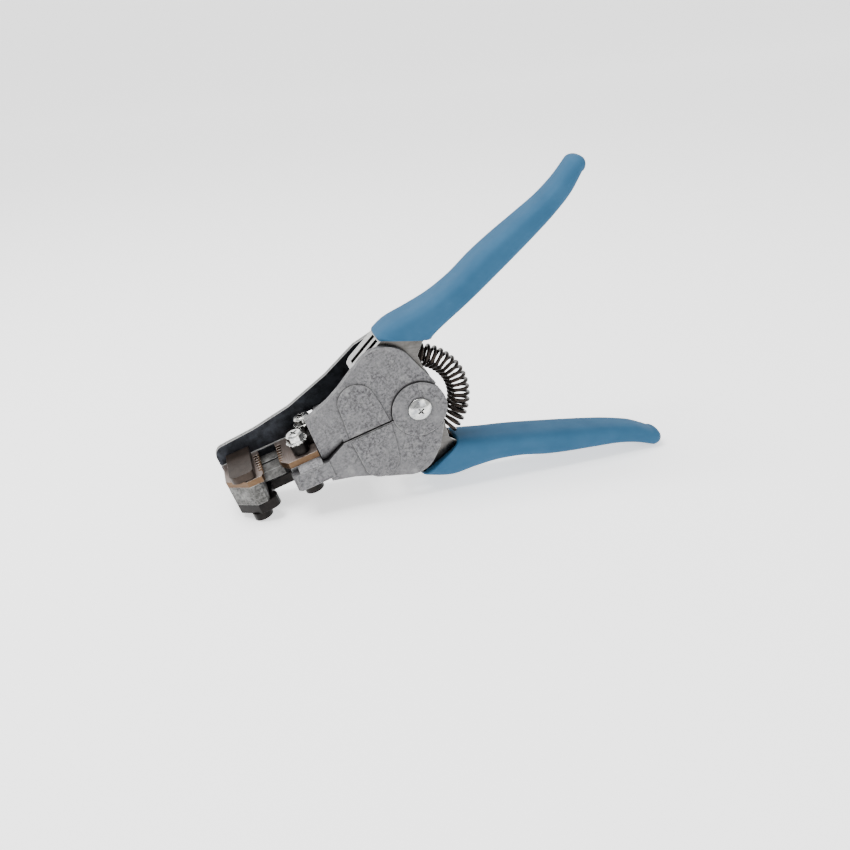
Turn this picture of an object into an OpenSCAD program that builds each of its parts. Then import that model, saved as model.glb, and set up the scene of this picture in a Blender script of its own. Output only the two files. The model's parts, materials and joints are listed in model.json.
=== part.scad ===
// Automatic wire stripper: two die-cast jaw frames on one pivot, two squeeze
// handles that pull sliding jaw arms, a serrated blade pair and a gripper.
// Every sub-part is drawn in the tool's own frame: X from the jaws to the
// handles, Y from the front face to the back, Z up, origin on the pivot axis
// at the front face. stand() then sets the tool on its lower edge, Z up.

/* [Pivot] */
// Radius of the front boss disc
boss_r = 11.4; // [10.5:0.1:11.8]
// Radius of the pivot screw's shank
pivot_r = 2.5; // [2:0.1:2.8]
// Radius of the pivot screw's head
pivot_head_r = 4.75; // [4:0.05:5.5]
// Outside radius of the sleeve that the handles turn on
sleeve_r = 3.8; // [3.6:0.1:4.2]

/* [Frames] */
// Thickness of a casting's front and rear plates
plate_t = 3.9; // [3.6:0.1:4]
// Distance from the front face to the castings' rear face
frame_depth = 28; // [27.5:0.5:28]
// Angle at which the tool's axis slopes when it stands on its feet, in degrees
stand_tilt = 15.9; // [14:0.1:18]

/* [Jaw arms] */
// Thickness of the steel arms behind the castings
arm_t = 2.7; // [2.2:0.1:3]
// Distance that an arm travels when its handle is squeezed
arm_travel = 7.45; // [6:0.05:7.5]
// Distance of the crank pins from the pivot
crank_r = 23.2; // [22.8:0.1:23.6]
// Distance that the gripper's carriage travels towards the finger
gripper_travel = 7.9; // [6:0.1:8.5]

/* [Blades] */
// Thickness of the two blades
blade_t = 2.7; // [2.4:0.1:2.9]
// Number of wire notches in each blade
notch_count = 7; // [4:1:7]
// Pitch of the notches
notch_pitch = 2.3; // [2:0.1:2.4]

/* [Handles] */
// Thickness of the handles' folded sheet steel
sheet_t = 1.2; // [1:0.1:1.3]
// Angle of a grip's straight line to the tool's axis
grip_angle = 22; // [21:0.5:23]

/* [Return spring] */
// Radius of the spring's wire
wire_r = 0.6; // [0.4:0.05:0.6]
// Radius of a coil, at the middle of the wire
coil_r = 4.15; // [3.8:0.05:4.3]
// Distance of the coiled centre line from the pivot
spring_r = 19.3; // [19:0.1:19.6]
// Number of coils
coil_turns = 19; // [14:1:21]

/* [Hidden] */

// Gaps: a running fit on a radius, a free gap between bodies, a press line
run_gap = 0.06;
free_gap = 0.3;
seat_gap = 0.02;

// Depth of the boss disc and of the hinge tongue behind it
boss_t = 2.0;
tongue_y0 = boss_t + 0.08;
tongue_r = 11.35;

// Height of the pivot screw's head, and its end behind the frames
pivot_head_t = 2.4;
pivot_end = 4.6;

// Jaw arms: front face, and the angles that the crank pins swing through
arm_y0 = frame_depth + free_gap;
arm_y1 = arm_y0 + arm_t;
crank_half_swing = asin(arm_travel / (2 * crank_r));
squeeze_angle = 2 * crank_half_swing;
crank_x = -crank_r * sin(crank_half_swing);
crank_z = crank_r * cos(crank_half_swing);
crank_pin_r = 2;
// Spare height of a crank slot, for the rise of the pin's arc
crank_rise = crank_r * (1 - cos(crank_half_swing)) + 0.15;
guide_reach = arm_travel + 0.4;

// Guide pins, which the arms slide on
guide_x = -36.5;
guide_z = 4.7;
guide_pin_r = 2;

// Jaws
outer_tip_x = -67.6;
inner_tip_x = -60;
outer_end_x = -83.2;
lower_screw_z = -7.1;
upper_screw_z = 1.95;
jaw_front_y = 4.2;
jaw_floor_z = -11.5;
shelf_t = 4.2;
lobe_bottom_z = -11.9;
lobe_rear_z = -11.2;
bolt_head_r = 4;
outer_head_t = 3.3;
inner_head_t = 4.2;
bolt_r = 2;
bolt_top_z = -1.3;
outer_bolt = [-75, 9];
inner_bolt = [-51.5, 8];
first_notch_y = 9.6;
gripper_screw_spots = [[-50, 9.5], [-45, 22.6]];
pad_top_z = 5;

// Handles: the lower channel is nested in the upper one
channel_y = [4, 18.8];
web_back_y = 20.6;
nest = sheet_t + 0.1;
channel_end = 56;
grip_base = [4.5, 28.1];
grip_mid_y = 11.4;
grip_tip = [94.8, 0.1];
grip_tip_r = 3.8;
// Stations of a grip to its tip: where the top line and the low line are
// (distance along the grip, height), and the half width. A slanting mouth
// comes before them
grip_stations = [
    [0, 8.5, 11.5, -7.8, 10.3], [10, 5.7, 18, -7.8, 10], [20, 3.3, 26, -8.1, 9.7],
    [31, 2.3, 35, -8.2, 9.5], [42, 2.8, 45, -8.2, 9.2], [53, 2.5, 56, -8.1, 8.8],
    [65, 1.6, 67, -7.8, 8.3], [76, 1, 77, -7.3, 7.7], [86, 1.9, 86, -6.3, 7],
    [94.8, 3.9, 94.4, -3.6, 6.6],
];
upper_mouth = [-7, 8.6, 8.4, -8.2, 10.5];
lower_mouth = [-11.5, 7.6, 3.2, -7.7, 10.5];
// Squareness of a grip's section: 2 is an ellipse, more is squarer
grip_power = 3;
grip_sides = 20;

// Stations of a channel's web, which lies inside the grip
web_end = -23.4;
web_line = [[web_end, 4.75], [-4.9, 6.7], [3, 6.4], [11, 3.8], [20, 1.7], [30, 0.6], [42, 0.6],
    [channel_end, 0.1]];
flange_low = [[channel_end, -6], [34, -6.2], [22, -6], [10, -5.4]];

// Return spring
spring_y = 11.4;
spring_half_angle = 68;
steps_per_turn = 12;
wire_sides = 6;
seat_angle = spring_half_angle + 3.2;

// Outlines of the castings' plates, from the head to the boss, above the axis,
// and the depths of their front faces and raised petals
head_x = -43.5;
upper_outline = concat([[head_x, 15.5], [-37.3, 17.4], [-32, 19.2], [-26.7, 21.9], [-19.5, 26.3]],
    arc([-8.2, 17.6], 13.2, 132, 28, 14), [[7.4, 13.6], [10, 7.3]]);
lower_outline = concat([[head_x, 13.4], [-39.6, 14.5], [-34.7, 15.9], [-28.2, 18.7], [-21.8, 22.2]],
    arc([-9.5, 15.5], 11, 121, 45, 12), [[2, 19.6], [4.8, 14.9], [7.6, 9.4]]);
plate_bore_r = 11;
block_top = 4.9;
upper_front = 1;
lower_front = 0.5;
petal_step = 0.5;

// Feet: the lowest point of the outer bolt's head and of the lower grip's tip
bolt_foot = -(outer_bolt.x - bolt_head_r) * sin(stand_tilt)
            - (jaw_floor_z - shelf_t - outer_head_t) * cos(stand_tilt);
tip_middle = grip_base + turned(grip_tip, grip_angle);
tip_foot = grip_tip_r - tip_middle.x * sin(stand_tilt) + tip_middle.y * cos(stand_tilt);
stand_height = max(bolt_foot, tip_foot);
// Middle of the standing tool's box, from the pivot: the upper arm's round
// corner to the lower grip's tip, and the pivot screw's head to its end
arm_corner = [-80, 4.2];
arm_corner_r = 4;
box_left = arm_corner.x * cos(stand_tilt) - arm_corner.y * sin(stand_tilt) - arm_corner_r;
box_right = tip_middle.x * cos(stand_tilt) + tip_middle.y * sin(stand_tilt) + grip_tip_r;
box_middle_x = (box_left + box_right) / 2;
box_middle_y = (frame_depth + pivot_end - pivot_head_t) / 2;

// ---------- functions ----------

function turned(p, a) = [p.x * cos(a) - p.y * sin(a), p.x * sin(a) + p.y * cos(a)];

// A handle's own coordinates to the tool's frame
function on_handle(p) = grip_base + turned(p, grip_angle);
function on_handle_all(points) = [for (p = points) on_handle(p)];

function arc(centre, r, a0, a1, n) =
    [for (i = [0:n]) centre + r * [cos(a0 + (a1 - a0) * i / n), sin(a0 + (a1 - a0) * i / n)]];

// A smooth curve through stations (Catmull-Rom)
function knot(p, i) = p[max(0, min(len(p) - 1, i))];
function curve_at(p, i, t) =
    let (a = knot(p, i - 1), b = knot(p, i), c = knot(p, i + 1), d = knot(p, i + 2))
    0.5 * (2 * b + (c - a) * t + (2 * a - 5 * b + 4 * c - d) * t * t
           + (3 * b - a - 3 * c + d) * t * t * t);
function curve(p, n) =
    concat([for (i = [0:len(p) - 2]) for (k = [0:n - 1]) curve_at(p, i, k / n)], [p[len(p) - 1]]);
function reversed(p) = [for (i = [len(p) - 1:-1:0]) p[i]];

// Sections of a grip: the stations' smooth curve, then the rounded tip
function grip_sections(mouth) = concat(curve(concat([mouth], grip_stations), 3), [for (a = [20:20:80])
    let (out = grip_tip_r * sin(a), high = grip_tip_r * cos(a))
    [grip_tip.x + out, grip_tip.y + high, grip_tip.x + out, grip_tip.y - high,
     6.6 - 4.6 * (1 - cos(a))]]);
function bulge(x) = sign(x) * pow(abs(x), 2 / grip_power);
function grip_ring(s) = [for (k = [0:grip_sides - 1])
    let (a = 360 * (k + 0.5) / grip_sides, w = (1 + bulge(cos(a))) / 2,
         low = [s[2], s[3]], top = [s[0], s[1]], p = on_handle(low + (top - low) * w))
    [p.x, grip_mid_y + s[4] * bulge(sin(a)), p.y]];

// Outline of a channel's flange, without its ear
function flange_outline(drop) = concat(
    [for (p = curve(web_line, 4)) p - [0, drop]], flange_low);

// Middle of the return spring's coil and a point on its wire, t from 0 to 1
function coil_centre(t) =
    let (a = -spring_half_angle + 2 * spring_half_angle * t)
    [spring_r * cos(a), spring_y, spring_r * sin(a)];
function coil_point(t) =
    let (turn = 360 * coil_turns * t, out = coil_r * cos(turn) / spring_r, c = coil_centre(t))
    [c.x * (1 + out), spring_y - coil_r * sin(turn), c.z * (1 + out)];

function unit(v) = v / norm(v);

// Triangles of a closed tube of points, ring after ring
function tube_faces(rings, sides) = concat(
    [for (i = [0:rings - 1]) for (k = [0:sides - 1]) let (k2 = (k + 1) % sides)
        [i * sides + k, (i + 1) * sides + k, (i + 1) * sides + k2]],
    [for (i = [0:rings - 1]) for (k = [0:sides - 1]) let (k2 = (k + 1) % sides)
        [i * sides + k, (i + 1) * sides + k2, i * sides + k2]],
    [for (k = [1:sides - 2]) [0, k, k + 1]],
    [for (k = [1:sides - 2]) let (last = rings * sides) [last, last + k + 1, last + k]]);

// ---------- shared shapes ----------

module stand() {
    translate([-box_middle_x, -box_middle_y, stand_height])
        rotate([0, -stand_tilt, 0]) children();
}

// Extrudes an outline in X and Z from front to back
module slab(y0, y1) {
    translate([0, y1, 0]) rotate([90, 0, 0]) linear_extrude(y1 - y0) children();
}

// Extrudes an outline in Y and Z along X
module along_x(x0, x1) {
    translate([x0, 0, 0]) rotate([90, 0, 90]) linear_extrude(x1 - x0) children();
}

// A round bar along Y
module bar_y(r, y0, y1, x = 0, z = 0) {
    translate([x, y1, z]) rotate([90, 0, 0]) cylinder(r = r, h = y1 - y0, $fn = 64);
}

// A round bar along Z
module bar_z(r, z0, z1, spot, sides = 64) {
    translate([spot.x, spot.y, z0]) cylinder(r = r, h = z1 - z0, $fn = sides);
}

module box(low, high) {
    translate(low) cube(high - low);
}

// Runs its children for the upper unit, or mirrored for the lower one
module side(upper) {
    if (upper) children();
    else mirror([0, 0, 1]) children();
}

module cross_slot(r, depth) {
    width = r * 0.28;
    for (a = [0, 90]) rotate([0, 0, a]) translate([-r * 0.62, -width / 2, -depth])
        cube([r * 1.24, width, depth + 1]);
}

// ---------- castings ----------

// A frame's plate: the split edge is the lower one, the boss fills the round
module frame_half(outline) {
    last = outline[len(outline) - 1];
    polygon(concat([[-33.5, 0.2], [head_x, 0.2]], outline,
        arc([0, 0], plate_bore_r, atan2(last.y, last.x), 179, 16)));
}

// Rear plate: lower at the back, so that the crank pins pass over it
module rear_half(outline) {
    intersection() {
        frame_half(outline);
        polygon([[head_x - 1, -1], [head_x - 1, block_top], [-40, block_top], [-39, 7.8],
                 [-27, 7.8], [-13, 17], [0, 20.2], [14, 20.2], [14, -1]]);
    }
}

// Block that joins a frame's plates at the head
module head_block_half(outline, top) {
    intersection() {
        frame_half(outline);
        polygon([[head_x - 1, -1], [head_x - 1, top], [-27, top], [-26, -1]]);
    }
}

module raised_petal(y0) {
    slab(y0, y0 + 1.5) polygon(concat([[-30.3, 0.6], [-29.8, 9]],
        arc([-22.2, 13.6], 7.6, 162, 8, 12), [[-13.7, 9], [-12.8, 0.6]]));
}

// Cross-section of the upper frame's split edge, below the axis at the head
module upper_nose() {
    polygon([[-33.5, 0.15], [-33, 1], [head_x, 1], [head_x, -4.3], [-41.8, -4.3]]);
}

module upper_casting() {
    color([0.63, 0.63, 0.64]) difference() {
        union() {
            slab(upper_front, plate_t) frame_half(upper_outline);
            slab(frame_depth - plate_t, frame_depth) rear_half(upper_outline);
            slab(upper_front, frame_depth) head_block_half(upper_outline, block_top);
            slab(upper_front, frame_depth) upper_nose();
            raised_petal(upper_front - petal_step);
            bar_y(tongue_r, tongue_y0, plate_t);
            bar_y(tongue_r, frame_depth - plate_t, frame_depth - tongue_y0);
        }
        // Recesses for the lower frame's boss discs
        bar_y(boss_r + 0.15, -1, tongue_y0);
        bar_y(tongue_r + 0.2, frame_depth - tongue_y0, frame_depth + 1);
        bar_y(pivot_r + run_gap, -1, frame_depth + 1);
        // Sloping flat beside the inner blade
        along_x(head_x - 1, -33)
            polygon([[0, 2.5], [upper_front, 2.5], [upper_front + 2.3, -4.6], [0, -4.6]]);
        // Pocket of the gripper's slide, and room for the pad's far corner
        box([head_x - 1, 11.8, 0.55], [-28.5, 18.2, block_top - 0.5]);
        box([head_x - 1, 17, 0.2], [-41.2, frame_depth - plate_t, block_top + 1]);
        bar_y(guide_pin_r + seat_gap, 20, frame_depth + 1, guide_x, guide_z);
    }
}

// The jaw lobe's outline from above, with its cut corner
module lobe_plan() {
    polygon([[head_x + 2, 0], [-56, 0], [-57.4, 1.8], [-57.4, 11.4], [-56.8, 11.4],
             [-56.8, frame_depth], [head_x + 2, frame_depth]]);
}

module lower_casting() {
    color([0.63, 0.63, 0.64]) difference() {
        union() {
            side(false) {
                difference() {
                    union() {
                        slab(lower_front, plate_t) frame_half(lower_outline);
                        slab(frame_depth - plate_t, frame_depth) rear_half(lower_outline);
                    }
                    // Room for the upper frame's hinge tongues
                    bar_y(tongue_r + 0.2, boss_t, frame_depth - boss_t);
                }
                slab(lower_front, frame_depth) head_block_half(lower_outline, -lobe_rear_z);
                raised_petal(lower_front - petal_step);
            }
            bar_y(boss_r, 0, boss_t);
            slab(frame_depth - boss_t, frame_depth) circle(r = tongue_r, $fn = 96);
            // Jaw lobe, its deeper front, and the blade's seat with a sloping front
            translate([0, 0, lobe_rear_z]) linear_extrude(-4.8 - lobe_rear_z) lobe_plan();
            translate([0, 0, lobe_bottom_z]) linear_extrude(2) intersection() {
                lobe_plan();
                translate([-58, -1]) square([17, 18]);
            }
            box([-56.8, jaw_front_y, -4.9], [head_x + 2, frame_depth, -blade_t]);
            along_x(-54, head_x + 2) polygon([[lower_front, -5], [lower_front, -4.7],
                [jaw_front_y, -blade_t - 0.1], [jaw_front_y + 0.1, -5]]);
        }
        // The upper frame's nose hangs here, in front of the split
        slab(-1, frame_depth + 1)
            polygon([[-34, 5], [-33.3, -0.35], [-41.6, -4.75], [-43.9, -4.75], [-43.9, 5]]);
        // Slot that the outer jaw's tongue slides into
        box([-61, 11.6, -7.6], [-49.3, frame_depth + 1, -blade_t - 1.6]);
        box([-61, 11.6, -7.6], [-50.6, frame_depth + 1, 1]);
        bar_y(pivot_r + run_gap, -1, frame_depth + 1);
        bar_z(bolt_r + seat_gap, -13, 1, inner_bolt);
        bar_y(guide_pin_r + seat_gap, 20, frame_depth + 1, guide_x, -guide_z);
    }
}

// ---------- pivot ----------

module pivot_screw() {
    color([0.86, 0.86, 0.84]) difference() {
        union() {
            intersection() {
                bar_y(pivot_head_r, -pivot_head_t, 0);
                translate([0, 4.5, 0]) sphere(r = 6.9, $fn = 64);
            }
            bar_y(pivot_r, 0, frame_depth + pivot_end);
        }
        rotate([90, 0, 0]) rotate([0, 0, 20]) translate([0, 0, pivot_head_t + 0.1]) cross_slot(2.4, 1.6);
    }
}

module pivot_sleeve() {
    color([0.72, 0.72, 0.7]) difference() {
        bar_y(sleeve_r, plate_t + 0.05, frame_depth - plate_t - 0.05);
        bar_y(pivot_r + 0.03, 0, frame_depth);
    }
}

module pivot_nut() {
    color([0.78, 0.78, 0.76]) difference() {
        translate([0, frame_depth + 4.1, 0]) rotate([90, 0, 0]) cylinder(r = 5, h = 4, $fn = 6);
        bar_y(pivot_r + seat_gap, frame_depth, frame_depth + 5);
    }
}

// ---------- blades ----------

// Plan of a blade: its cutting edge faces +X at x = 0, with wire notches
module blade_plan(length, corner) {
    difference() {
        polygon([[0, frame_depth], [0, jaw_front_y + corner.y], [-corner.x, jaw_front_y],
                 [-length + 8.4, jaw_front_y], [-length, jaw_front_y + 8], [-length, frame_depth]]);
        notches();
    }
}

// V notches that end in half rounds, wider towards the back
module notches() {
    for (i = [0:notch_count - 1]) notch(first_notch_y + i * notch_pitch, 0.35 + 0.17 * i);
}

module notch(y, r) {
    polygon([[0.1, y - 1.05], [-1.6, y - r * 0.6], [-1.6, y + r * 0.6], [0.1, y + 1.05]]);
    translate([-1.5, y]) circle(r = r * 0.75, $fn = 24);
}

module outer_blade() {
    color([0.66, 0.58, 0.48]) difference() {
        translate([outer_tip_x, 0, -blade_t]) linear_extrude(blade_t)
            blade_plan(outer_tip_x - outer_end_x, [0.8, 1.5]);
        bar_z(bolt_r + seat_gap, -5, -1.2, outer_bolt);
    }
}

module inner_blade() {
    length = -44 - inner_tip_x;
    color([0.66, 0.58, 0.48]) difference() {
        translate([inner_tip_x, 0, -blade_t]) linear_extrude(blade_t) difference() {
            polygon([[0, frame_depth], [0, jaw_front_y + 5], [3.4, jaw_front_y],
                     [length, jaw_front_y], [length, frame_depth]]);
            mirror([1, 0]) notches();
        }
        bar_z(bolt_r + seat_gap, -5, -1.2, inner_bolt);
    }
}

// A round-headed black bolt from below, its head's top at z
module blade_bolt(spot, z, head_t) {
    color([0.13, 0.12, 0.12]) difference() {
        union() {
            bar_z(bolt_head_r, z - head_t, z, spot);
            bar_z(bolt_r, z - 0.5, bolt_top_z, spot);
        }
        translate([spot.x, spot.y, z - head_t - 1]) cylinder(r = 2.3, h = 3, $fn = 6);
    }
}

module outer_blade_bolt() {
    blade_bolt(outer_bolt, jaw_floor_z - shelf_t, outer_head_t);
}

module inner_blade_bolt() {
    blade_bolt(inner_bolt, lobe_bottom_z - 0.8, inner_head_t);
}

module inner_bolt_washer() {
    color([0.16, 0.15, 0.15]) difference() {
        bar_z(bolt_head_r + 0.3, lobe_bottom_z - 0.8, lobe_bottom_z, inner_bolt);
        bar_z(bolt_r + seat_gap, -14, -9, inner_bolt);
    }
}

// ---------- jaw arms ----------

module guide_slot(y0, y1) {
    bar_y(guide_pin_r + run_gap, y0, y1, guide_x, guide_z);
    bar_y(guide_pin_r + run_gap, y0, y1, guide_x - guide_reach, guide_z);
    box([guide_x - guide_reach, y0, guide_z - guide_pin_r - run_gap],
        [guide_x, y1, guide_z + guide_pin_r + run_gap]);
}

module crank_slot(y0, y1) {
    r = crank_pin_r + run_gap;
    for (dz = [-0.15, crank_rise]) bar_y(r, y0, y1, crank_x, crank_z + dz);
    box([crank_x - r, y0, crank_z - 0.15], [crank_x + r, y1, crank_z + crank_rise]);
}

// Plan of an arm, drawn in by d along its outer edge: a hooked head, a neck
// and the eye of the crank pin
module arm_outline(d = 0) {
    polygon(concat(arc(arm_corner, arm_corner_r - d, 180, 92, 8),
        [for (p = [[-65, 9.3], [-48, 12.2], [-29, 18.4], [-13, 25.6]]) p - [0, d]],
        arc([crank_x, crank_z], 4.4 - d, 110, -60, 12),
        [[-10, 15.5], [-22, 6], [-33, 0.35], [-84, 0.35]]));
}

module arm_screw_spots() {
    for (x = [-78.4, -72.6]) translate([x, 0, 0]) children();
}

// An arm; its jaw stands on a hooked end that spans the heights in hook_z
module arm_plate(upper, screw_z, hook_z) {
    color([0.2, 0.2, 0.22]) difference() {
        union() {
            // Two plates, with a groove between them along the outer edge
            side(upper) slab(arm_y0, arm_y0 + 1.1) arm_outline();
            side(upper) slab(arm_y0 + 1, arm_y0 + 1.6) arm_outline(0.5);
            side(upper) slab(arm_y0 + 1.5, arm_y1) arm_outline();
            box([outer_end_x + 0.2, arm_y0, hook_z[0]], [-68, arm_y1, hook_z[1]]);
        }
        side(upper) guide_slot(arm_y0 - 1, arm_y1 + 1);
        side(upper) crank_slot(arm_y0 - 1, arm_y1 + 1);
        arm_screw_spots() bar_y(1.3, arm_y0 - 1, arm_y1 + 1, 0, screw_z);
    }
}

module lower_arm_plate() {
    arm_plate(false, lower_screw_z, [jaw_floor_z - shelf_t, -5]);
}

module upper_arm_plate() {
    arm_plate(true, upper_screw_z, [0.35, 1]);
}

module jaw_plan() {
    polygon([[-69.4, arm_y0], [-69.4, jaw_front_y + 1.2], [-70.6, jaw_front_y],
             [-74.8, jaw_front_y], [outer_end_x, jaw_front_y + 8], [outer_end_x, arm_y0]]);
}

module outer_jaw_block() {
    color([0.72, 0.72, 0.71]) difference() {
        union() {
            translate([0, 0, jaw_floor_z]) linear_extrude(-blade_t - jaw_floor_z) jaw_plan();
            // Tongue with two wire rests, one behind the other
            box([-70, 12, -7.2], [inner_tip_x + 0.4, 19.4, -3.1]);
            box([-70, 21, -7.2], [inner_tip_x + 0.4, arm_y0 - 0.6, -3.1]);
            box([-70, 12, -7.2], [inner_tip_x + 0.4, arm_y0 - 0.6, -4.6]);
        }
        bar_z(bolt_r + seat_gap, -20, 1, outer_bolt);
        arm_screw_spots() bar_y(1.25, 22, arm_y0 + 1, 0, lower_screw_z);
    }
}

// Black shelf under the jaw block, and its bar towards the pivot
module outer_jaw_shelf() {
    color([0.13, 0.12, 0.12]) difference() {
        translate([0, 0, jaw_floor_z - shelf_t]) linear_extrude(shelf_t) {
            difference() {
                union() {
                    polygon([[outer_end_x, arm_y0], [outer_end_x, jaw_front_y + 8],
                             [-74.8, jaw_front_y], [-70, jaw_front_y], [-70, arm_y0]]);
                    polygon(concat([[-70, arm_y0]], arc([-70, 8], 3.8, -90, 60, 8),
                        [[-67.4, 19.5], [-54.6, 19.5], [-54.6, arm_y0]]));
                }
                translate(outer_bolt) circle(r = bolt_r + seat_gap, $fn = 64);
            }
        }
    }
}

// Countersunk screws from behind, one for each spot
module rear_screws(z, y_tip) {
    color([0.75, 0.75, 0.74]) arm_screw_spots() difference() {
        union() {
            bar_y(1.22, y_tip, arm_y1 + 0.2, 0, z);
            bar_y(2.2, arm_y1, arm_y1 + 1.1, 0, z);
        }
        box([-2, arm_y1 + 0.6, z - 0.25], [2, arm_y1 + 2, z + 0.25]);
    }
}

module lower_arm_screws() {
    rear_screws(lower_screw_z, 22.5);
}

module upper_arm_screws() {
    rear_screws(upper_screw_z, 23.5);
}

module gripper_finger() {
    color([0.4, 0.37, 0.34]) difference() {
        translate([0, 0, 0.35]) linear_extrude(3.2) polygon(concat(
            [[-80.4, arm_y0], [-80.4, 12]], arc([-76.6, 8.4], 3.8, 190, 270, 6),
            arc([-72.6, 6.6], 2.2, 270, 360, 6), [[-70.4, arm_y0]]));
        arm_screw_spots() bar_y(1.25, 23, arm_y0 + 1, 0, upper_screw_z);
    }
}

// ---------- gripper ----------

module gripper_slide() {
    color([0.25, 0.25, 0.26]) difference() {
        box([-45.8, 12, 0.75], [-29, 18, block_top - 0.8]);
        bar_y(0.8, 11, 19, -33, 2.4);
    }
}

module gripper_pad() {
    color([0.1, 0.1, 0.1]) difference() {
        translate([0, 0, 0.3]) linear_extrude(pad_top_z - 0.3) polygon(concat(
            arc([-49.9, 9.6], 3.7, 180, 330, 10), [[-45.8, 12], [-45.8, 18], [-41.8, 19.6],
            [-41.8, 23.6], [-53.6, 23.6]]));
        for (s = gripper_screw_spots) bar_z(1.62, 1.2, 6, s);
    }
}

module gripper_screws() {
    color([0.85, 0.85, 0.83]) for (s = gripper_screw_spots) difference() {
        union() {
            bar_z(1.6, 1.3, 8.6, s);
            bar_z(3.6, 6, 8.4, s);
            translate([s.x, s.y, 8.4]) cylinder(r1 = 3.6, r2 = 2.9, h = 0.7, $fn = 64);
        }
        translate([s.x, s.y, 9.1]) rotate([0, 0, 30]) cross_slot(3, 1.3);
    }
}

// Washers with outside teeth
module gripper_washers() {
    color([0.8, 0.8, 0.78]) for (s = gripper_screw_spots) difference() {
        union() {
            bar_z(3.8, pad_top_z, 6, s);
            for (a = [0:30:330]) translate([s.x, s.y, pad_top_z + 0.1]) rotate([0, 0, a])
                translate([3.4, -0.5, 0]) cube([1, 1, 0.8]);
        }
        bar_z(1.62, 4, 7, s);
    }
}

// ---------- handles ----------

// The ear that turns on the pivot sleeve, and its neck up to the flange
module ear_outline() {
    polygon(concat(arc([0, 0], 9, 150, 376, 20), [[7.4, 20], [11, 24.2], on_handle([10, -5.4]),
        on_handle([8, 3]), on_handle([-4.9, 6]), on_handle([web_end, 4.15])]));
}

module channel(upper, y0, y1) {
    color([0.8, 0.8, 0.79]) side(upper) difference() {
        union() {
            for (y = [y0, y1 - sheet_t]) {
                slab(y, y + sheet_t) polygon(on_handle_all(flange_outline(0)));
                slab(y, y + sheet_t) ear_outline();
            }
            slab(y0, y1) polygon(on_handle_all(concat(
                curve(web_line, 4), reversed([for (p = curve(web_line, 4)) p - [0, sheet_t]]))));
            // Wing of the web, in front of the arm
            slab(y1 - sheet_t, web_back_y) polygon(on_handle_all(
                [[web_end, 4.75], [-5, 6.69], [-5, 6.69 - sheet_t], [web_end, 4.75 - sheet_t]]));
        }
        bar_y(sleeve_r + run_gap, 0, 30);
        bar_y(crank_pin_r + seat_gap, 0, 30, crank_x, crank_z);
        // Long slots through the web where it leaves the grip, and its cut corner
        translate([grip_base.x, 0, grip_base.y]) rotate([0, -grip_angle, 0]) {
            for (y = [2.4, 8.4]) box([-21.4, y0 + y, 2], [-7.5, y0 + y + 3.4, 12]);
            translate([web_end, web_back_y, 0]) rotate([0, 0, 45]) cube([2.9, 2.9, 23], center = true);
        }
    }
}

module upper_channel() {
    channel(true, channel_y[0], channel_y[1]);
}

module lower_channel() {
    channel(false, channel_y[0] + nest, channel_y[1] - nest);
}

module grip(upper, y0, y1) {
    sections = grip_sections(upper ? upper_mouth : lower_mouth);
    rings = [for (s = sections) each grip_ring(s)];
    color(upper ? [0.38, 0.53, 0.63] : [0.35, 0.50, 0.61]) side(upper) difference() {
        polyhedron(rings, tube_faces(len(sections) - 1, grip_sides), convexity = 4);
        // The channel's own space
        slab(y0 - seat_gap, y1 + seat_gap) polygon(on_handle_all(concat(
            [for (p = curve(web_line, 4)) p + [0, seat_gap]],
            [[channel_end + seat_gap, 0.1], [channel_end + seat_gap, -6 - seat_gap]],
            [for (p = flange_low) p - [0, seat_gap]], [[3, -6.5], [-8, -6.5]])));
        slab(y0, web_back_y + seat_gap) polygon(on_handle_all(
            [[-21, 5.1], [-4.9, 6.72], [-4.9, 5.4], [-21, 3.6]]));
    }
}

module upper_grip() {
    grip(true, channel_y[0], channel_y[1]);
}

module lower_grip() {
    grip(false, channel_y[0] + nest, channel_y[1] - nest);
}

module crank_pin(upper, y_flange) {
    color([0.7, 0.7, 0.7]) side(upper) difference() {
        union() {
            bar_y(crank_pin_r, y_flange - sheet_t - 0.2, arm_y1 + 1.6, crank_x, crank_z);
            bar_y(3, y_flange - sheet_t - 1.2, y_flange - sheet_t, crank_x, crank_z);
        }
        difference() {
            bar_y(3, arm_y1 + 0.15, arm_y1 + 0.95, crank_x, crank_z);
            bar_y(1.5, arm_y1, arm_y1 + 1, crank_x, crank_z);
        }
    }
}

module upper_crank_pin() {
    crank_pin(true, channel_y[1]);
}

module lower_crank_pin() {
    crank_pin(false, channel_y[1] - nest);
}

// Clip in the groove at a crank pin's rear end
module crank_clip(upper) {
    color([0.3, 0.3, 0.3]) side(upper) difference() {
        bar_y(3.3, arm_y1 + 0.2, arm_y1 + 0.9, crank_x, crank_z);
        bar_y(1.5 + seat_gap, arm_y1, arm_y1 + 1, crank_x, crank_z);
        box([crank_x - 1.2, arm_y1, crank_z], [crank_x + 1.2, arm_y1 + 1, crank_z + 5]);
    }
}

module upper_crank_clip() {
    crank_clip(true);
}

module lower_crank_clip() {
    crank_clip(false);
}

// Tab between a channel's flanges, square to the spring's end
module spring_seat(upper, y0, y1) {
    color([0.84, 0.84, 0.82]) side(upper) rotate([0, -seat_angle, 0])
        box([15.2, y0 + sheet_t, 0], [23.4, y1 - sheet_t, 1.1]);
}

module upper_spring_seat() {
    spring_seat(true, channel_y[0], channel_y[1]);
}

module lower_spring_seat() {
    spring_seat(false, channel_y[0] + nest, channel_y[1] - nest);
}

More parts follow.
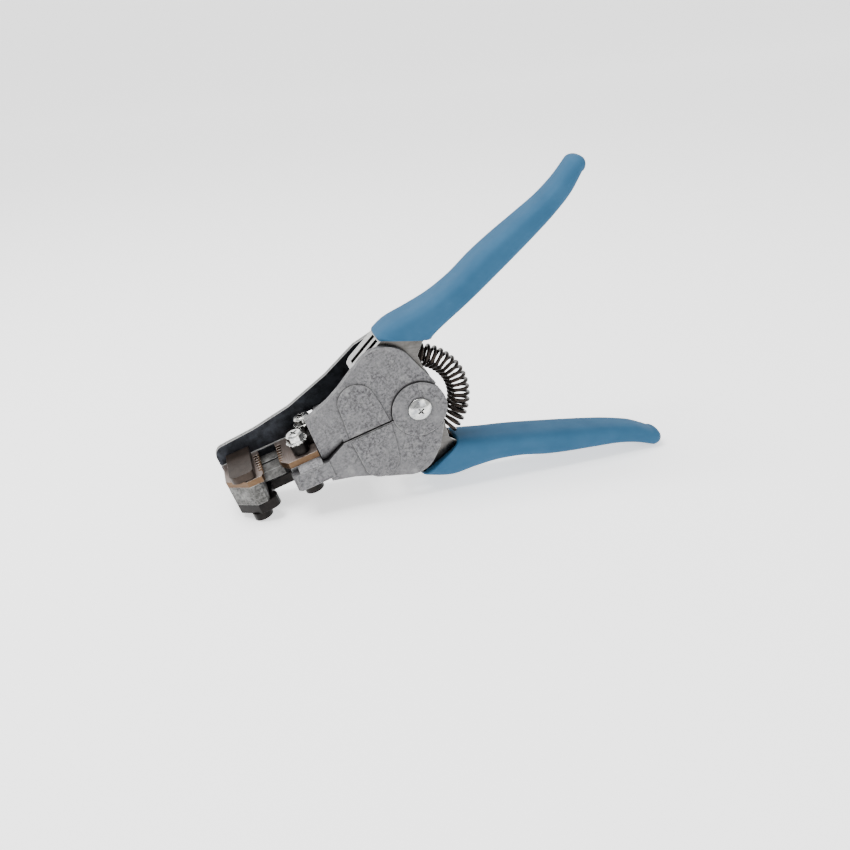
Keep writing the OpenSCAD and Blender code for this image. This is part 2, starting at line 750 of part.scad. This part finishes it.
module return_spring() {
    rings = coil_turns * steps_per_turn;
    points = [for (i = [0:rings]) let (
        t = i / rings,
        p = coil_point(t),
        along = unit(coil_point(t + 0.001) - coil_point(t - 0.001)),
        outward = unit(p - coil_centre(t)),
        across = unit(cross(along, outward))
    ) for (k = [0:wire_sides - 1]) p + wire_r * (cos(360 * k / wire_sides) * outward
                                                + sin(360 * k / wire_sides) * across)];
    color([0.14, 0.12, 0.11]) polyhedron(points, tube_faces(rings, wire_sides), convexity = 10);
}

// ---------- guide pins ----------

module guide_pin(upper) {
    color([0.68, 0.68, 0.68]) side(upper) {
        bar_y(guide_pin_r, 20.2, arm_y1 + 0.4, guide_x, guide_z);
        bar_y(3.4, arm_y1 + 0.1, arm_y1 + 1.2, guide_x, guide_z);
    }
}

module upper_guide_pin() {
    guide_pin(true);
}

module lower_guide_pin() {
    guide_pin(false);
}

// ---------- the tool ----------

stand() lower_casting();
stand() upper_casting();
stand() pivot_screw();
stand() pivot_sleeve();
stand() pivot_nut();
stand() inner_blade();
stand() inner_blade_bolt();
stand() inner_bolt_washer();
stand() lower_guide_pin();
stand() upper_guide_pin();
stand() lower_arm_plate();
stand() outer_jaw_shelf();
stand() outer_jaw_block();
stand() outer_blade();
stand() outer_blade_bolt();
stand() lower_arm_screws();
stand() upper_arm_plate();
stand() gripper_finger();
stand() upper_arm_screws();
stand() gripper_slide();
stand() gripper_pad();
stand() gripper_screws();
stand() gripper_washers();
stand() lower_channel();
stand() upper_channel();
stand() lower_grip();
stand() upper_grip();
stand() lower_crank_pin();
stand() upper_crank_pin();
stand() lower_crank_clip();
stand() upper_crank_clip();
stand() lower_spring_seat();
stand() upper_spring_seat();
stand() return_spring();
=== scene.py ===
"""Looks of the automatic wire stripper, built round its CAD frame."""

import json
from math import cos, pi, radians, sin

import bmesh
import bpy
from mathutils import Matrix, Vector


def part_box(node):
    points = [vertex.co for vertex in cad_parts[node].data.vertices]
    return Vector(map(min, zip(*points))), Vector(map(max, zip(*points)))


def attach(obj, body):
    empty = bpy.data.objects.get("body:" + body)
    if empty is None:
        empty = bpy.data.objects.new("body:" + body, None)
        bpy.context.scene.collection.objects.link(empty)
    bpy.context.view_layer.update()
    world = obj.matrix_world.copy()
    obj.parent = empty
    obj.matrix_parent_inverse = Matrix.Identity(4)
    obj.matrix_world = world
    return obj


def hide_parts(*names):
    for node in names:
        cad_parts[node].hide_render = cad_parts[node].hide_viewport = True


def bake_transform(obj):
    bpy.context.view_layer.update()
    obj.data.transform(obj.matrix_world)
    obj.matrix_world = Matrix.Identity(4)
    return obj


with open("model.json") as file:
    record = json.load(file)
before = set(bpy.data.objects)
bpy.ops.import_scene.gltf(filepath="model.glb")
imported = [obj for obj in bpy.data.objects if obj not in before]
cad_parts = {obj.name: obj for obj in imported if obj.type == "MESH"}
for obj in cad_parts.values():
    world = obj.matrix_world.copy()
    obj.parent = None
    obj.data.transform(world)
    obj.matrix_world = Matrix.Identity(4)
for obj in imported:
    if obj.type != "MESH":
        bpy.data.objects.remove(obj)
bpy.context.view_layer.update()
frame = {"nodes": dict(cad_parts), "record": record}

# ---------- the tool's own frame, in mm from the pivot ----------

MM = 0.001
TILT = radians(15.9)
SCREW_HEAD_HEIGHT = 2.4
AXIS_X = Vector((cos(TILT), 0, sin(TILT)))
AXIS_Y = Vector((0, 1, 0))
AXIS_Z = Vector((-sin(TILT), 0, cos(TILT)))

screw_low, screw_high = (Vector(corner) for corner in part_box("pivot_screw"))
pivot = (screw_low + screw_high) / 2
pivot.y = screw_low.y + SCREW_HEAD_HEIGHT * MM


def place(x, y, z):
    """A point of the tool's frame, in mm, as a point of the scene."""
    return pivot + MM * (x * AXIS_X + y * AXIS_Y + z * AXIS_Z)


# ---------- camera, floor and light ----------

CAMERA_AZIMUTH = radians(-12.545)
CAMERA_ELEVATION = radians(24.515)
CAMERA_ROLL = radians(-4.702)
CAMERA_LENS = 41.036
SENSOR_WIDTH = 36
NEAREST_SEEN = 0.01
# Where the pivot is, in mm, in the camera's own axes
PIVOT_IN_VIEW = Vector((-2.0, 6.3, -387.2))

WHITE = (1, 1, 1, 1)

FLOOR_HALF_WIDTH = 8.0
FLOOR_FRONT = -1.6
FLOOR_BACK = 1.6
BACKDROP_RADIUS = 0.6
BACKDROP_HEIGHT = 2.2
BACKDROP_STEPS = 12

WORLD_STRENGTH = 0.8
LIGHT_TARGET = (0, 0, 0.04)
# Name, position, size and power of each soft light, in metres and watts
LIGHTS = [
    ("key", (-0.3, 0.0, 0.85), 0.5, 12),
    ("fill", (0.5, -0.9, 0.6), 0.8, 5),
]


def add_camera():
    """A camera at the photograph's angle, distance and roll."""
    back = Vector((
        sin(CAMERA_AZIMUTH) * cos(CAMERA_ELEVATION),
        -cos(CAMERA_AZIMUTH) * cos(CAMERA_ELEVATION),
        sin(CAMERA_ELEVATION),
    ))
    level = Vector((cos(CAMERA_AZIMUTH), sin(CAMERA_AZIMUTH), 0))
    upright = back.cross(level)
    right = cos(CAMERA_ROLL) * level + sin(CAMERA_ROLL) * upright
    turn = Matrix((right, back.cross(right), back)).transposed()
    data = bpy.data.cameras.new("camera")
    data.lens = CAMERA_LENS
    data.sensor_width = SENSOR_WIDTH
    data.clip_start = NEAREST_SEEN
    camera = bpy.data.objects.new("camera", data)
    camera.matrix_world = Matrix.Translation(pivot - turn @ (PIVOT_IN_VIEW * MM)) @ turn.to_4x4()
    bpy.context.collection.objects.link(camera)
    bpy.context.scene.camera = camera


def add_area_light(name, position, size, power):
    """A square soft light that shines from position towards the tool."""
    data = bpy.data.lights.new(name, "AREA")
    data.shape = "SQUARE"
    data.size = size
    data.energy = power
    light = bpy.data.objects.new(name, data)
    direction = Vector(LIGHT_TARGET) - Vector(position)
    turn = direction.to_track_quat("-Z", "Y").to_matrix().to_4x4()
    light.matrix_world = Matrix.Translation(position) @ turn
    bpy.context.collection.objects.link(light)


def add_world():
    """Even white light from all round."""
    world = bpy.data.worlds.new("studio")
    world.use_nodes = True
    background = world.node_tree.nodes["Background"]
    background.inputs["Color"].default_value = WHITE
    background.inputs["Strength"].default_value = WORLD_STRENGTH
    bpy.context.scene.world = world


# ---------- meshes ----------

SHARP_ANGLE = radians(50)
WELD_DISTANCE = 1e-7


def add_mesh(name, points, faces, material, sharp_angle=SHARP_ANGLE):
    """A smooth-shaded mesh object, with its faces turned outwards."""
    mesh = bpy.data.meshes.new(name)
    mesh.from_pydata(points, [], faces)
    shape = bmesh.new()
    shape.from_mesh(mesh)
    bmesh.ops.remove_doubles(shape, verts=shape.verts, dist=WELD_DISTANCE)
    bmesh.ops.recalc_face_normals(shape, faces=shape.faces)
    shape.to_mesh(mesh)
    shape.free()
    mesh.shade_smooth()
    mesh.set_sharp_from_angle(angle=sharp_angle)
    mesh.materials.append(material)
    item = bpy.data.objects.new(name, mesh)
    bpy.context.collection.objects.link(item)
    return item


def tube(rings):
    """Points and faces of a tube through equal rings of points, closed at both ends."""
    sides = len(rings[0])
    points = [p for ring in rings for p in ring]
    faces = []
    for i in range(len(rings) - 1):
        for k in range(sides):
            k2 = (k + 1) % sides
            here = i * sides
            ahead = here + sides
            faces.append((here + k, here + k2, ahead + k2, ahead + k))
    for ring, start in ((rings[0], 0), (rings[-1], len(points) - sides)):
        centre = sum(ring, Vector()) / sides
        points.append(centre)
        for k in range(sides):
            faces.append((len(points) - 1, start + (k + 1) % sides, start + k))
    return points, faces


def smooth_row(rows, t):
    """The row at place t, from 0 to 1, of a smooth curve through rows of numbers."""
    last = len(rows) - 1
    i = min(int(t * last), last - 1)
    f = t * last - i
    a, b, c, d = (rows[max(0, min(last, i + k))] for k in (-1, 0, 1, 2))
    row = []
    for p, q, r, s in zip(a, b, c, d):
        bend = 2 * p - 5 * q + 4 * r - s
        twist = 3 * q - p - 3 * r + s
        row.append(0.5 * (2 * q + (r - p) * f + bend * f * f + twist * f**3))
    return row


# ---------- materials ----------

# The Mix node's sockets for colours
MIX_FIRST = 6
MIX_SECOND = 7
MIX_RESULT = 2
SHADE_SAMPLES = 6
# Nearly all of a noise lies in this range
NOISE_LOW = 0.3
NOISE_HIGH = 0.7
# How squarely a face looks along an axis before it counts as facing it
FACING_LOW = 0.6
FACING_HIGH = 0.75
# How well a rounded normal agrees with the flat one, off an edge and on it
OFF_EDGE = 0.98
ON_EDGE = 0.8


class Look:
    """A material, with short calls that add and join its nodes. Sizes are in mm."""

    def __init__(self, name):
        self.material = bpy.data.materials.new(name)
        self.material.use_nodes = True
        self.tree = self.material.node_tree
        self.shader = self.tree.nodes["Principled BSDF"]

    def node(self, kind, *inputs, **settings):
        """Adds a node; inputs are numbers, colours or sockets for its inputs in turn."""
        new = self.tree.nodes.new("ShaderNode" + kind)
        for key, value in settings.items():
            setattr(new, key, value)
        for socket, value in zip(new.inputs, inputs):
            self.feed(socket, value)
        return new

    def feed(self, socket, value):
        if isinstance(value, bpy.types.NodeSocket):
            self.tree.links.new(value, socket)
        elif value is not None:
            socket.default_value = value

    def set(self, **values):
        """Feeds the shader's sockets; an underscore stands for a space in a name."""
        for key, value in values.items():
            self.feed(self.shader.inputs[key.replace("_", " ")], value)

    def noise(self, size, detail=3.0, roughness=0.55, stretch=(1, 1, 1)):
        """Cloudy noise whose patches are about size mm, drawn out by stretch."""
        place_node = self.node("TexCoord")
        mapping = self.node("Mapping", place_node.outputs["Object"])
        mapping.inputs["Rotation"].default_value = (0, TILT, 0)
        mapping.inputs["Scale"].default_value = [1 / s for s in stretch]
        noise = self.node("TexNoise")
        self.feed(noise.inputs["Vector"], mapping.outputs[0])
        self.feed(noise.inputs["Scale"], 1 / (size * MM))
        self.feed(noise.inputs["Detail"], detail)
        self.feed(noise.inputs["Roughness"], roughness)
        return noise.outputs[0]

    def spread(self, value, low, high, to_low=0.0, to_high=1.0):
        """Maps the range low to high onto to_low to to_high."""
        return self.node("MapRange", value, low, high, to_low, to_high).outputs[0]

    def across(self, noise, to_low=0.0, to_high=1.0):
        """Maps a noise's usual range onto to_low to to_high."""
        return self.spread(noise, NOISE_LOW, NOISE_HIGH, to_low, to_high)

    def calc(self, operation, *values):
        return self.node("Math", *values, operation=operation).outputs[0]

    def mix(self, factor, first, second):
        """Mixes two colours, each an RGB tuple or a socket."""
        new = self.node("Mix", data_type="RGBA")
        self.feed(new.inputs["Factor"], factor)
        for place_in, value in ((MIX_FIRST, first), (MIX_SECOND, second)):
            self.feed(new.inputs[place_in], (*value, 1) if isinstance(value, tuple) else value)
        return new.outputs[MIX_RESULT]

    def dot(self, first, second):
        product = self.node("VectorMath", first, second, operation="DOT_PRODUCT")
        return product.outputs["Value"]

    def facing(self, axis):
        """1 on faces that look along axis or away from it, 0 on the others."""
        place_node = self.node("TexCoord")
        along = self.calc("ABSOLUTE", self.dot(place_node.outputs["Normal"], tuple(axis)))
        return self.spread(along, FACING_LOW, FACING_HIGH)

    def edges(self, radius):
        """1 at edges, fading to 0 within radius, and the rounded normal."""
        rounded = self.node("Bevel", samples=SHADE_SAMPLES)
        self.feed(rounded.inputs["Radius"], radius * MM)
        plain = self.node("NewGeometry")
        agreement = self.dot(rounded.outputs[0], plain.outputs["Normal"])
        return self.spread(agreement, OFF_EDGE, ON_EDGE), rounded.outputs[0]

    def crevices(self, distance):
        """1 in the open, 0 deep in corners closer than distance."""
        shade = self.node("AmbientOcclusion", samples=SHADE_SAMPLES)
        self.feed(shade.inputs["Distance"], distance * MM)
        return shade.outputs["AO"]

    def relief(self, height, depth, normal=None):
        """A bump of the given depth from a height between 0 and 1."""
        bump = self.node("Bump")
        self.feed(bump.inputs["Height"], height)
        self.feed(bump.inputs["Distance"], depth * MM)
        self.feed(bump.inputs["Normal"], normal)
        return bump.outputs[0]


# Colour of the painted shade on faces that look forwards or backwards
SIDE_SHADE = (0.045, 0.041, 0.037)
# Colour of the painted highlight on bright metal's edges
EDGE_HIGHLIGHT = (0.9, 0.9, 0.88)
# Dark and light tone of a cut steel edge
CUT_STEEL = ((0.16, 0.16, 0.158), (0.34, 0.34, 0.33))


def scaled(colour, factor):
    """A colour made darker or lighter."""
    return tuple(factor * c for c in colour)


def cast_metal(name, light, dark, worn):
    """Tumbled die casting: even and speckled patches, worn edges with a painted highlight, and
    painted shade in corners.
    """
    look = Look(name)
    fine = look.noise(1.1, 6, 0.8)
    blotch = look.noise(5, 4, 0.6)
    patches = look.spread(look.noise(15, 2, 0.5), 0.34, 0.54)
    pits = look.noise(0.8, 3, 0.6)
    even = look.mix(look.across(fine), scaled(light, 0.74), light)
    speckled = look.mix(look.spread(fine, 0.40, 0.58), dark, light)
    colour = look.mix(patches, even, speckled)
    in_blotch = look.spread(blotch, 0.45, 0.6, 0, 0.8)
    pitted = look.calc("MULTIPLY", look.spread(pits, 0.55, 0.66), in_blotch)
    colour = look.mix(look.calc("MULTIPLY", pitted, patches), colour, scaled(dark, 0.45))
    colour = look.mix(look.spread(blotch, 0.52, 0.7, 0, 0.3), colour, worn)
    # Edges lightened toward the worn colour: partly real wear, partly a painted highlight.
    edge, rounded = look.edges(0.6)
    edge = look.calc("MULTIPLY", edge, look.spread(look.noise(2.5), 0.35, 0.6, 0.25, 0.9))
    colour = look.mix(edge, colour, worn)
    # Painted shade: colour darkened where ambient occlusion finds corners and recesses.
    painted_shade = look.spread(look.crevices(3.0), 0.45, 0.96, 0.9, 0)
    colour = look.mix(painted_shade, colour, scaled(dark, 0.25))
    look.set(
        Base_Color=colour,
        Metallic=0.6,
        Roughness=look.across(fine, 0.6, 0.45),
        Normal=look.relief(fine, 0.12, rounded),
    )
    return look.material


def bright_metal(name, light, dark, roughness, stretch=(1, 1, 1), grain=0.5, side_shade_strength=0.0):
    """Plated or machined metal, with fine streaks along the stretch and painted shade in corners.

    Faces that look forwards or backwards are darkened by painted shade, as strong as the last
    argument.
    """
    look = Look(name)
    streaks = look.noise(grain, 3, 0.6, stretch)
    blotch = look.noise(5, 3)
    colour = look.mix(look.across(streaks), dark, light)
    # Painted shade: faces that look forwards or backwards are darkened, unevenly.
    uneven = look.spread(blotch, 0.35, 0.65, side_shade_strength, 0.85 * side_shade_strength)
    painted_side_shade = look.calc("MULTIPLY", look.facing(AXIS_Y), uneven)
    colour = look.mix(painted_side_shade, colour, SIDE_SHADE)
    # Painted shade: colour darkened where ambient occlusion finds slots and corners.
    painted_shade = look.spread(look.crevices(1.6), 0.3, 0.9, 0.9, 0)
    colour = look.mix(painted_shade, colour, scaled(dark, 0.2))
    edge, rounded = look.edges(0.3)
    look.set(
        # Painted highlight: edges are lightened.
        Base_Color=look.mix(look.calc("MULTIPLY", edge, 0.5), colour, EDGE_HIGHLIGHT),
        Metallic=1.0,
        Roughness=look.across(blotch, roughness - 0.06, roughness + 0.08),
        Normal=look.relief(streaks, 0.01, rounded),
    )
    return look.material


def dark_metal(name, light, dark, worn, roughness, face_axis=None):
    """Oiled black or blued steel; faces off face_axis are bright cut edges."""
    look = Look(name)
    fine = look.noise(0.4, 4, 0.7)
    blotch = look.noise(3.5, 4, 0.65)
    colour = look.mix(look.spread(blotch, 0.35, 0.65), dark, light)
    colour = look.mix(look.spread(fine, 0.55, 0.75, 0, 0.35), colour, worn)
    edge, rounded = look.edges(0.35)
    edge = look.calc("MULTIPLY", edge, look.spread(blotch, 0.4, 0.6, 0.1, 0.7))
    colour = look.mix(edge, colour, worn)
    if face_axis:
        streaks = look.noise(0.5, 3, 0.6, (1, 12, 1))
        cut = look.mix(look.across(streaks), *CUT_STEEL)
        colour = look.mix(look.facing(face_axis), cut, colour)
    look.set(
        Base_Color=colour,
        Metallic=0.85,
        Roughness=look.across(fine, roughness - 0.08, roughness + 0.1),
        Normal=look.relief(fine, 0.03, rounded),
    )
    return look.material


def blade_metal():
    """Straw-tempered blade with a ground, pinkish top face and fine grinding lines."""
    look = Look("straw_blade_steel")
    lines = look.noise(0.25, 3, 0.6, (1, 30, 30))
    blotch = look.noise(3, 3)
    side = look.mix(look.across(blotch), (0.075, 0.042, 0.022), (0.130, 0.080, 0.045))
    top = look.mix(look.across(lines), (0.165, 0.128, 0.112), (0.30, 0.245, 0.22))
    edge, rounded = look.edges(0.2)
    colour = look.mix(look.facing(AXIS_Z), side, top)
    look.set(
        Base_Color=look.mix(look.calc("MULTIPLY", edge, 0.6), colour, (0.50, 0.45, 0.40)),
        Metallic=0.9,
        Roughness=look.across(blotch, 0.3, 0.42),
        Normal=look.relief(lines, 0.008, rounded),
    )
    return look.material


def vinyl():
    """Dip-moulded blue vinyl: faint colour drift, orange peel and a soft shine."""
    look = Look("blue_dipped_vinyl")
    drift = look.noise(14, 3)
    peel = look.noise(0.9, 3, 0.5)
    waves = look.noise(6, 2, 0.4)
    scuff = look.spread(look.noise(1.2, 5, 0.75, (5, 1, 1)), 0.6, 0.78)
    colour = look.mix(look.across(drift), (0.023, 0.080, 0.152), (0.031, 0.097, 0.178))
    colour = look.mix(look.calc("MULTIPLY", scuff, 0.25), colour, (0.06, 0.17, 0.26))
    look.set(
        Base_Color=colour,
        Roughness=look.spread(look.calc("ADD", peel, scuff), 0.3, 1.4, 0.6, 0.75),
        Normal=look.relief(peel, 0.02, look.relief(waves, 0.10)),
        Specular_IOR_Level=0.08,
    )
    return look.material


def floor_paper():
    """Plain white studio paper with a faint tooth, lit through from behind."""
    look = Look("studio_paper")
    tooth = look.noise(0.8, 3)
    look.set(
        Base_Color=look.mix(look.across(tooth), (0.90, 0.90, 0.90), (0.92, 0.92, 0.92)),
        Roughness=0.9,
        Specular_IOR_Level=0.1,
        Emission_Color=WHITE,
        Emission_Strength=1.0,
    )
    return look.material


# ---------- the CAD nodes' finishes ----------

SLOTS = {
    "die_cast": cast_metal(
        "die_cast_alloy",
        light=(0.160, 0.159, 0.164), dark=(0.05, 0.048, 0.052), worn=(0.34, 0.34, 0.335),
    ),
    "bright_cast": cast_metal(
        "bright_cast_alloy",
        light=(0.115, 0.113, 0.108), dark=(0.025, 0.025, 0.023), worn=(0.42, 0.42, 0.41),
    ),
    "bright_zinc": bright_metal(
        "bright_zinc",
        light=(0.80, 0.80, 0.75), dark=(0.30, 0.31, 0.33), roughness=0.18, grain=2.2,
    ),
    # The zinc plate's faces that look forwards or backwards carry painted shade.
    "zinc_plate": bright_metal(
        "zinc_plate",
        light=(0.56, 0.56, 0.55), dark=(0.30, 0.30, 0.29), roughness=0.30,
        stretch=(14, 1, 1), side_shade_strength=0.95,
    ),
    "steel": bright_metal(
        "turned_steel",
        light=(0.66, 0.65, 0.63), dark=(0.42, 0.42, 0.41), roughness=0.32, grain=0.3,
    ),
    "blade_steel": blade_metal(),
    "finger_steel": dark_metal(
        "brown_steel",
        light=(0.042, 0.031, 0.025), dark=(0.024, 0.017, 0.013), worn=(0.08, 0.064, 0.054),
        roughness=0.45,
    ),
    "black_steel": dark_metal(
        "oiled_black_steel",
        light=(0.012, 0.010, 0.009), dark=(0.004, 0.0035, 0.0035), worn=(0.035, 0.03, 0.028),
        roughness=0.36,
    ),
    # The arm's faces are dark steel painted darker still for the shade they lie in behind the
    # front castings; its cut edges are lighter steel.
    "arm_steel": dark_metal(
        "dark_arm_steel_painted_shade",
        light=(0.040, 0.044, 0.054), dark=(0.014, 0.015, 0.018), worn=(0.12, 0.125, 0.14),
        roughness=0.42, face_axis=AXIS_Y,
    ),
    "blue_vinyl": vinyl(),
    "spring_wire": dark_metal(
        "spring_wire",
        light=(0.030, 0.022, 0.018), dark=(0.010, 0.008, 0.007), worn=(0.10, 0.08, 0.07),
        roughness=0.30,
    ),
}


def finish_frame():
    """Gives every CAD node the material of its slot in the record."""
    for part in frame["record"]["subparts"]:
        materials = frame["nodes"][part["node"]].data.materials
        materials.clear()
        materials.append(SLOTS[part["material_slot"]])


# ---------- grips ----------

GRIP_BASE = (4.5, 28.1)
GRIP_ANGLE = radians(22)
GRIP_MIDDLE_Y = 11.4
GRIP_SIDES = 48
GRIP_STEPS = 56
# Stations to the tip: top point and low point, each as distance along the
# grip and height, then half width. A slanting mouth comes before them
GRIP_STATIONS = [
    (0, 8.5, 11.5, -7.8, 10.3),
    (10, 5.7, 18, -7.8, 10),
    (20, 3.3, 26, -8.1, 9.7),
    (31, 2.3, 35, -8.2, 9.5),
    (42, 2.8, 45, -8.2, 9.2),
    (53, 2.5, 56, -8.1, 8.8),
    (65, 1.6, 67, -7.8, 8.3),
    (76, 1, 77, -7.3, 7.7),
    (86, 1.9, 86, -6.3, 7),
    (94.8, 3.9, 94.4, -3.6, 6.6),
]
UPPER_MOUTH = (-7, 8.6, 8.4, -8.2, 10.5)
LOWER_MOUTH = (-11.5, 7.6, 3.2, -7.7, 10.5)
GRIP_TIP = (94.8, 0.1)
GRIP_TIP_RADIUS = 3.8
# Half width where the round tip starts, and how much of it the tip loses
GRIP_TIP_HALF_WIDTH = 6.6
GRIP_TIP_LOSS = 4.6
GRIP_TIP_ANGLE = radians(88)
GRIP_TIP_STEPS = 8
# How square the section is along the grip, and at its very tip
GRIP_POWER = 3.8
TIP_POWER = 2.2
TIP_START = 70
# The hollow for the channel, after the mouth: stations as above, without the half width
HOLLOW_STATIONS = [
    (11, 3.8, 14, -5.7),
    (30, 0.7, 30, -6.2),
    (42, 0.7, 42, -6.2),
    (56, 0.2, 56, -6.1),
]
HOLLOW_MOUTH_HEIGHTS = (6.5, -5.4)
HOLLOW_POWER = 9
HOLLOW_STEPS = 16
HOLLOW_ROOM = 0.05
UPPER_CHANNEL_HALF_WIDTH = 7.4
LOWER_CHANNEL_HALF_WIDTH = 6.1
LIP = 0.7
LIP_ANGLES = (0, pi / 6, pi / 3)
GRIP_SHARP_ANGLE = radians(60)


def bulge(value, power):
    """A cosine or sine made squarer by power, with its sign kept."""
    size = abs(value) ** (2 / power)
    return size if value > 0 else -size


def grip_point(section, angle, power, side):
    """A point on a grip's section: a squarish oval between its top and low points."""
    u_top, v_top, u_low, v_low, half = section
    high = (1 + bulge(cos(angle), power)) / 2
    u = u_low + (u_top - u_low) * high
    v = v_low + (v_top - v_low) * high
    x = GRIP_BASE[0] + u * cos(GRIP_ANGLE) - v * sin(GRIP_ANGLE)
    z = GRIP_BASE[1] + u * sin(GRIP_ANGLE) + v * cos(GRIP_ANGLE)
    return place(x, GRIP_MIDDLE_Y + half * bulge(sin(angle), power), side * z)


def grown(section, outwards, along):
    """A section made larger all round and moved along the grip."""
    u_top, v_top, u_low, v_low, half = section
    return (u_top + along, v_top + outwards, u_low + along, v_low - outwards, half + outwards)


def add_grip(name, side, mouth, channel_half_width):
    """A dipped grip: a shell with a rounded lip, a hollow for the channel and a round tip."""
    outside = [smooth_row([mouth, *GRIP_STATIONS], i / GRIP_STEPS) for i in range(GRIP_STEPS + 1)]
    tip_u, tip_v = GRIP_TIP
    for i in range(1, GRIP_TIP_STEPS + 1):
        angle = GRIP_TIP_ANGLE * i / GRIP_TIP_STEPS
        u = tip_u + GRIP_TIP_RADIUS * sin(angle)
        high = GRIP_TIP_RADIUS * cos(angle)
        half = GRIP_TIP_HALF_WIDTH - GRIP_TIP_LOSS * (1 - cos(angle))
        outside.append((u, tip_v + high, u, tip_v - high, half))
    hollow_mouth = (mouth[0], HOLLOW_MOUTH_HEIGHTS[0], mouth[2], HOLLOW_MOUTH_HEIGHTS[1])
    hollow_half_width = channel_half_width + HOLLOW_ROOM
    hollow = [
        (*smooth_row([hollow_mouth, *HOLLOW_STATIONS], i / HOLLOW_STEPS), hollow_half_width)
        for i in range(HOLLOW_STEPS + 1)
    ]
    lip_out = [grown(mouth, LIP * (sin(a) - 1), LIP * (1 - cos(a))) for a in LIP_ANGLES]
    rings = hollow[:0:-1]
    rings.append(grown(hollow[0], 0, LIP))
    rings.append(grown(hollow[0], 0.2 * LIP, 0.3 * LIP))
    rings.append(grown(hollow[0], LIP, 0))
    powers = [HOLLOW_POWER] * len(rings)
    for section in lip_out + [grown(mouth, 0, LIP)] + outside[1:]:
        past = max(0, section[0] - TIP_START) / (tip_u + GRIP_TIP_RADIUS - TIP_START)
        rings.append(section)
        powers.append(GRIP_POWER + (TIP_POWER - GRIP_POWER) * past)
    angles = [2 * pi * (k + 0.5) / GRIP_SIDES for k in range(GRIP_SIDES)]
    points, faces = tube([
        [grip_point(section, a, power, side) for a in angles]
        for section, power in zip(rings, powers)
    ])
    return add_mesh(name, points, faces, SLOTS["blue_vinyl"], GRIP_SHARP_ANGLE)


# ---------- return spring ----------

SPRING_RADIUS = 19.3
SPRING_Y = 11.4
COIL_RADIUS = 4.15
WIRE_RADIUS = 0.75
COIL_TURNS = 19
SPRING_HALF_ANGLE = 68
SPRING_BLEND_ANGLE = 22
STEPS_PER_TURN = 24
WIRE_SIDES = 8
# Step, in degrees, used to find the wire's direction
DIRECTION_STEP = 0.05


def coil_frame(angle):
    """The coil's centre and a point on its wire, in mm, at an angle round the pivot in degrees."""
    turn = 2 * pi * COIL_TURNS * (angle + SPRING_HALF_ANGLE) / (2 * SPRING_HALF_ANGLE)
    ray = Vector((cos(radians(angle)), 0, sin(radians(angle))))
    centre = SPRING_RADIUS * ray + SPRING_Y * AXIS_Y
    return centre, centre + COIL_RADIUS * (cos(turn) * ray - sin(turn) * AXIS_Y)


def add_spring_part(name, first, last):
    """The spring's wire between two angles round the pivot."""
    steps = round(COIL_TURNS * STEPS_PER_TURN * (last - first) / (2 * SPRING_HALF_ANGLE))
    rings = []
    for i in range(steps + 1):
        angle = first + (last - first) * i / steps
        centre, point = coil_frame(angle)
        ahead = coil_frame(angle + DIRECTION_STEP)[1]
        behind = coil_frame(angle - DIRECTION_STEP)[1]
        along = (ahead - behind).normalized()
        outwards = (point - centre).normalized()
        across = along.cross(outwards).normalized()
        ring = []
        for k in range(WIRE_SIDES):
            a = 2 * pi * k / WIRE_SIDES
            ring.append(place(*(point + WIRE_RADIUS * (cos(a) * outwards + sin(a) * across))))
        rings.append(ring)
    points, faces = tube(rings)
    return add_mesh(name, points, faces, SLOTS["spring_wire"])


# ---------- putting it together ----------


def add_studio():
    """The floor, which curves up into a backdrop, and the lights."""
    profile = [(FLOOR_FRONT, 0)]
    for i in range(BACKDROP_STEPS + 1):
        a = pi / 2 * i / BACKDROP_STEPS
        profile.append((FLOOR_BACK + BACKDROP_RADIUS * sin(a), BACKDROP_RADIUS * (1 - cos(a))))
    profile.append((FLOOR_BACK + BACKDROP_RADIUS, BACKDROP_HEIGHT))
    points = [(x, y, z) for y, z in profile for x in (-FLOOR_HALF_WIDTH, FLOOR_HALF_WIDTH)]
    faces = [(2 * i, 2 * i + 1, 2 * i + 3, 2 * i + 2) for i in range(len(profile) - 1)]
    mesh = bpy.data.meshes.new("studio_floor")
    mesh.from_pydata(points, [], faces)
    mesh.shade_smooth()
    mesh.materials.append(floor_paper())
    floor = bpy.data.objects.new("studio_floor", mesh)
    bpy.context.collection.objects.link(floor)
    add_world()
    for name, position, size, power in LIGHTS:
        add_area_light(name, position, size, power)


finish_frame()

upper_grip = add_grip("upper_grip_vinyl", 1, UPPER_MOUTH, UPPER_CHANNEL_HALF_WIDTH)
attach(upper_grip, "upper_handle")
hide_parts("upper_grip")

lower_grip = add_grip("lower_grip_vinyl", -1, LOWER_MOUTH, LOWER_CHANNEL_HALF_WIDTH)
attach(lower_grip, "lower_handle")
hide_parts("lower_grip")

SPRING_PARTS = [
    ("spring_lower_end", "lower_handle", "blade_frame", -SPRING_HALF_ANGLE, -SPRING_BLEND_ANGLE),
    ("spring_middle", "blade_frame", "gripper_frame", -SPRING_BLEND_ANGLE, SPRING_BLEND_ANGLE),
    ("spring_upper_end", "gripper_frame", "upper_handle", SPRING_BLEND_ANGLE, SPRING_HALF_ANGLE),
]
for part_name, first_body, second_body, first_angle, last_angle in SPRING_PARTS:
    part = add_spring_part(part_name, first_angle, last_angle)
    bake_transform(part)
    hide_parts("return_spring")

add_studio()
add_camera()
